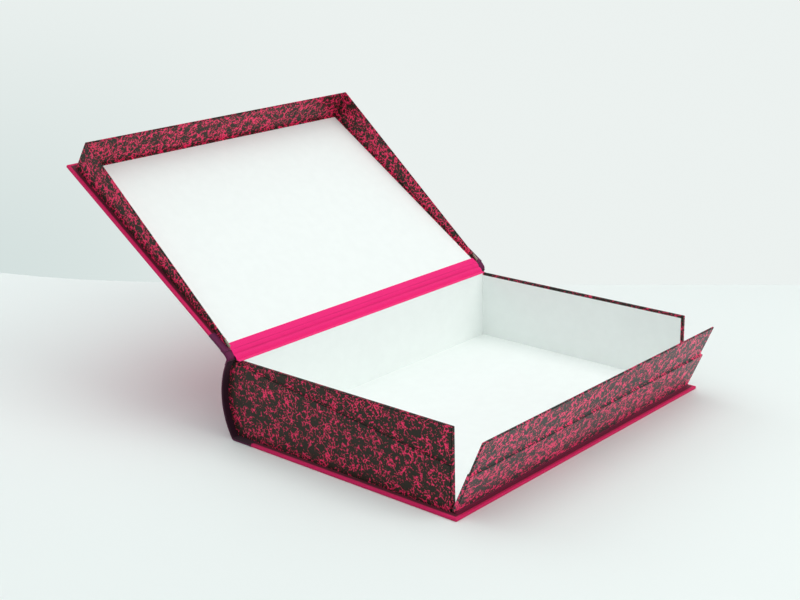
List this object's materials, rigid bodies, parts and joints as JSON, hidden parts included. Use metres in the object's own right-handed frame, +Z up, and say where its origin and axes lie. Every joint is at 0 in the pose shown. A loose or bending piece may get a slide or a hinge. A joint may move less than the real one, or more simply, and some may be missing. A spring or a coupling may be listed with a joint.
{
  "type": "clamshell book box",
  "caption": "Cloth-covered clamshell box for papers, with a curved spine, a drop-front tray and a hinged lid whose tapered rims close over the tray's walls.",
  "frame": {"origin": "middle of the tray's clear floor, on the plane that the box stands on", "axes": "+X from the spine to the fore-edge, +Y from the near side to the far side along the spine, +Z up"},
  "size_m": [0.4589, 0.34, 0.2302],
  "materials": {
    "greyboard": "matte",
    "pink_bookcloth": "matte",
    "purple_bookcloth": "matte",
    "patterned_paper": "satin",
    "white_lining_paper": "matte"
  },
  "bodies": {
    "tray": {"base_board": "greyboard", "base_cloth": "pink_bookcloth", "spine_board": "greyboard", "spine_cloth": "purple_bookcloth", "floor_board": "greyboard", "floor_lining": "white_lining_paper", "back_wall_board": "greyboard", "back_wall_lining": "white_lining_paper", "near_wall_board": "greyboard", "near_shoulder_board": "greyboard", "near_wall_paper": "patterned_paper", "near_wall_lining": "white_lining_paper", "far_wall_board": "greyboard", "far_shoulder_board": "greyboard", "far_wall_paper": "patterned_paper", "far_wall_lining": "white_lining_paper", "flap_hinge_cloth": "pink_bookcloth", "outer_joint_cloth": "purple_bookcloth", "inner_hinge_strip": "pink_bookcloth"},
    "flap": {"flap_board": "greyboard", "flap_shoulder_board": "greyboard", "flap_paper": "patterned_paper", "flap_lining": "white_lining_paper"},
    "lid": {"lid_board": "greyboard", "lid_cloth": "pink_bookcloth", "lid_spine_cloth": "purple_bookcloth", "lid_lining": "white_lining_paper", "near_rim_board": "greyboard", "near_rim_paper": "patterned_paper", "far_rim_board": "greyboard", "far_rim_paper": "patterned_paper", "fore_rim_board": "greyboard", "fore_rim_paper": "patterned_paper"}
  },
  "joints": [
    {"name": "lid_hinge", "type": "hinge", "parent": "tray", "child": "lid", "pos_m": [-0.11891, 0, 0.0721], "axis": [0, -1, 0], "range_deg": [-146, 34], "deforming": ["inner_hinge_strip", "outer_joint_cloth"]},
    {"name": "flap_hinge", "type": "hinge", "parent": "tray", "child": "flap", "pos_m": [0.1155, 0, 0.0032], "axis": [0, 1, 0], "range_deg": [-24, 68], "deforming": ["flap_hinge_cloth"]}
  ]
}
